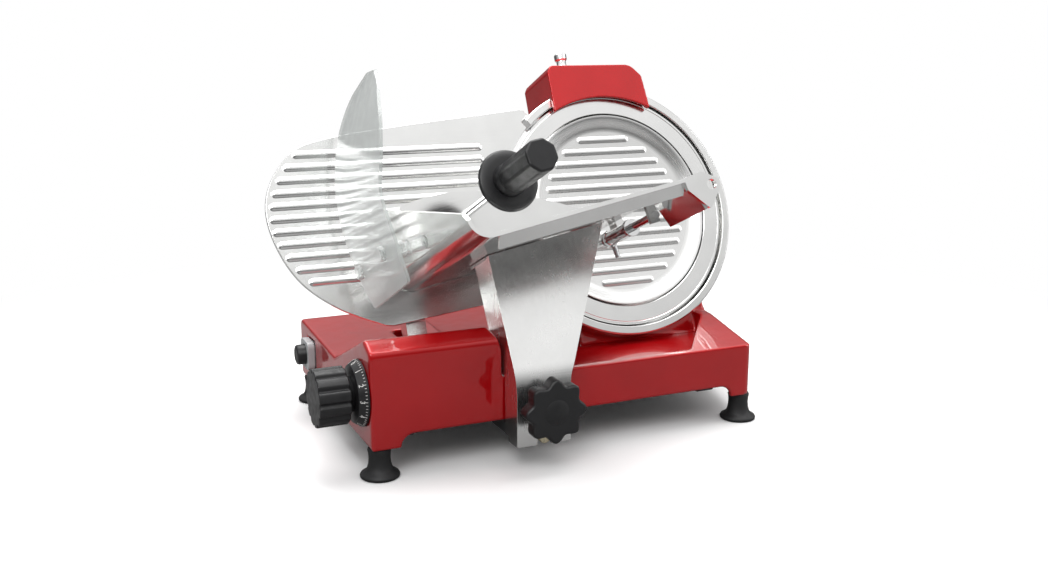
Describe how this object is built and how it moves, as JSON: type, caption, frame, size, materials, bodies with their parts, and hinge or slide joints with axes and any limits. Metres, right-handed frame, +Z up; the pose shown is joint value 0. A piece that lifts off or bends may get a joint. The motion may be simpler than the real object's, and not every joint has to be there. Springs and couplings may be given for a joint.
{
  "type": "deli meat slicer",
  "caption": "Gravity-feed deli slicer: enamelled cast base, tilted round blade behind a ribbed gauge plate, polished sliding tray on a folded arm with pusher and clear hand guard.",
  "frame": {"origin": "centre of the bounding box on the plane the feet stand on", "axes": "+Z up, +X along the carriage travel from the thickness knob towards the blade, +Y from the operator side to the motor side"},
  "size_m": [0.5048, 0.3566, 0.3523],
  "materials": {
    "red_paint": "glossy enamel on cast aluminium",
    "polished_metal": "mirror polished",
    "satin_aluminium": "satin anodised",
    "bright_steel": "fine ground",
    "chrome_plate": "bright chrome plate",
    "black_plastic": "satin moulded plastic",
    "grey_plastic": "satin moulded plastic",
    "black_rubber": "dull moulded rubber",
    "brass_pin": "turned brass",
    "clear_plastic": "clear polycarbonate with fine scuffs",
    "grey_stone": "bonded abrasive stone",
    "pink_stone": "bonded abrasive stone",
    "motor_paint": "matt black paint",
    "board_green": "laminated circuit board"
  },
  "bodies": {
    "frame": {"base_casting": "red_paint", "bottom_plate": "bright_steel", "foot_front_left": "black_rubber", "foot_front_right": "black_rubber", "foot_rear_left": "black_rubber", "foot_rear_right": "black_rubber", "foot_screw_front_left": "bright_steel", "foot_screw_front_right": "bright_steel", "foot_screw_rear_left": "bright_steel", "foot_screw_rear_right": "bright_steel", "ring_guard": "satin_aluminium", "blade_axle": "bright_steel", "blade_bearing_front": "bright_steel", "blade_bearing_rear": "bright_steel", "blade_cover": "satin_aluminium", "slice_deflector": "polished_metal", "motor_body": "motor_paint", "drive_belt": "black_rubber", "gauge_slide_rod": "bright_steel", "gauge_spring": "bright_steel", "switch_housing": "grey_plastic", "control_board": "board_green", "start_capacitor": "grey_plastic", "cord_bush": "black_rubber", "power_cord": "black_rubber", "carriage_rod": "chrome_plate", "rod_bracket_left": "black_plastic", "rod_bracket_right": "black_plastic"},
    "blade_rotor": {"blade": "polished_metal", "blade_pulley": "satin_aluminium"},
    "motor_rotor": {"motor_pulley": "bright_steel"},
    "cover_knob": {"tie_rod_knob": "black_plastic"},
    "gauge": {"gauge_plate": "satin_aluminium", "gauge_carrier": "satin_aluminium"},
    "knob": {"thickness_knob": "black_plastic", "dial_ring": "black_plastic", "gauge_cam": "bright_steel"},
    "button": {"power_button": "black_plastic"},
    "sharpener": {"sharpener_base": "satin_aluminium", "sharpener_cover": "red_paint"},
    "sharpener_clamp": {"sharpener_pin": "chrome_plate"},
    "grinding_push": {"grinding_button": "black_plastic"},
    "grinding_wheel": {"grinding_stone": "grey_stone"},
    "finishing_push": {"finishing_button": "black_plastic"},
    "finishing_wheel": {"finishing_stone": "pink_stone"},
    "carriage": {"carriage_block": "satin_aluminium", "locating_pin": "brass_pin"},
    "tray_arm": {"carriage_arm": "polished_metal", "tray": "polished_metal", "hand_guard": "clear_plastic", "guard_screw_front": "clear_plastic", "guard_screw_rear": "clear_plastic", "pusher_rod": "bright_steel"},
    "arm_knob": {"star_knob": "black_plastic"},
    "pusher_slider": {"pusher_sleeve": "polished_metal"},
    "pusher": {"pusher_plate": "polished_metal", "handle_stud": "bright_steel", "handle_disc": "black_plastic", "pusher_handle": "black_plastic", "pusher_set_screw": "bright_steel"}
  },
  "joints": [
    {"name": "blade_spin", "type": "hinge", "parent": "frame", "child": "blade_rotor", "pos_m": [0.1166, 0.05132, 0.1917], "axis": [0, -0.9191, 0.3939], "continuous": true},
    {"name": "motor_spin", "type": "hinge", "parent": "frame", "child": "motor_rotor", "pos_m": [0.1166, 0.04935, 0.11095], "axis": [0, -0.9191, 0.3939], "continuous": true},
    {"name": "cover_knob_turn", "type": "hinge", "parent": "frame", "child": "cover_knob", "pos_m": [0.1166, 0.11566, 0.16412], "axis": [0, -0.9191, 0.3939], "continuous": true},
    {"name": "gauge_slide", "type": "slide", "parent": "frame", "child": "gauge", "axis": [0, 0.9191, -0.3939], "range_m": [0, 0.012]},
    {"name": "knob_turn", "type": "hinge", "parent": "frame", "child": "knob", "pos_m": [-0.2319, -0.08668, 0.072], "axis": [1, 0, 0], "range_deg": [0, 300]},
    {"name": "button_press", "type": "slide", "parent": "frame", "child": "button", "axis": [1, 0, 0], "range_m": [0, 0.003]},
    {"name": "sharpener_lift", "type": "slide", "parent": "frame", "child": "sharpener", "axis": [0, 0.3939, 0.9191], "range_m": [0, 0.025]},
    {"name": "sharpener_clamp_turn", "type": "hinge", "parent": "sharpener", "child": "sharpener_clamp", "pos_m": [0.0826, 0.115, 0.3276], "axis": [0, 0.3939, 0.9191], "continuous": true},
    {"name": "grinding_press", "type": "slide", "parent": "sharpener", "child": "grinding_push", "axis": [0, -0.9191, 0.3939], "range_m": [0, 0.003]},
    {"name": "grinding_spin", "type": "hinge", "parent": "grinding_push", "child": "grinding_wheel", "pos_m": [0.0926, 0.12104, 0.29346], "axis": [0, -0.9191, 0.3939], "continuous": true},
    {"name": "finishing_press", "type": "slide", "parent": "sharpener", "child": "finishing_push", "axis": [0, -0.9191, 0.3939], "range_m": [0, 0.003]},
    {"name": "finishing_spin", "type": "hinge", "parent": "finishing_push", "child": "finishing_wheel", "pos_m": [0.1406, 0.12104, 0.29346], "axis": [0, -0.9191, 0.3939], "continuous": true},
    {"name": "carriage_slide", "type": "slide", "parent": "frame", "child": "carriage", "axis": [1, 0, 0], "range_m": [0, 0.16]},
    {"name": "arm_tilt", "type": "hinge", "parent": "carriage", "child": "tray_arm", "pos_m": [-0.0604, -0.14068, 0.0285], "axis": [1, 0, 0], "range_deg": [0, 22]},
    {"name": "star_knob_turn", "type": "hinge", "parent": "tray_arm", "child": "arm_knob", "pos_m": [-0.0604, -0.15868, 0.059], "axis": [0, 1, 0], "continuous": true},
    {"name": "pusher_slide", "type": "slide", "parent": "tray_arm", "child": "pusher_slider", "axis": [0, 0.9191, -0.3939], "range_m": [-0.042, 0.045]},
    {"name": "pusher_swing", "type": "hinge", "parent": "pusher_slider", "child": "pusher", "pos_m": [0.06546, -0.02637, 0.17543], "axis": [0, 0.9191, -0.3939], "range_deg": [0, 95]}
  ],
  "couplings": [
    {"joint": "motor_spin", "follows": "blade_spin", "ratio": 3.6667},
    {"joint": "knob_turn", "follows": "gauge_slide", "rad_per_m": 436}
  ]
}
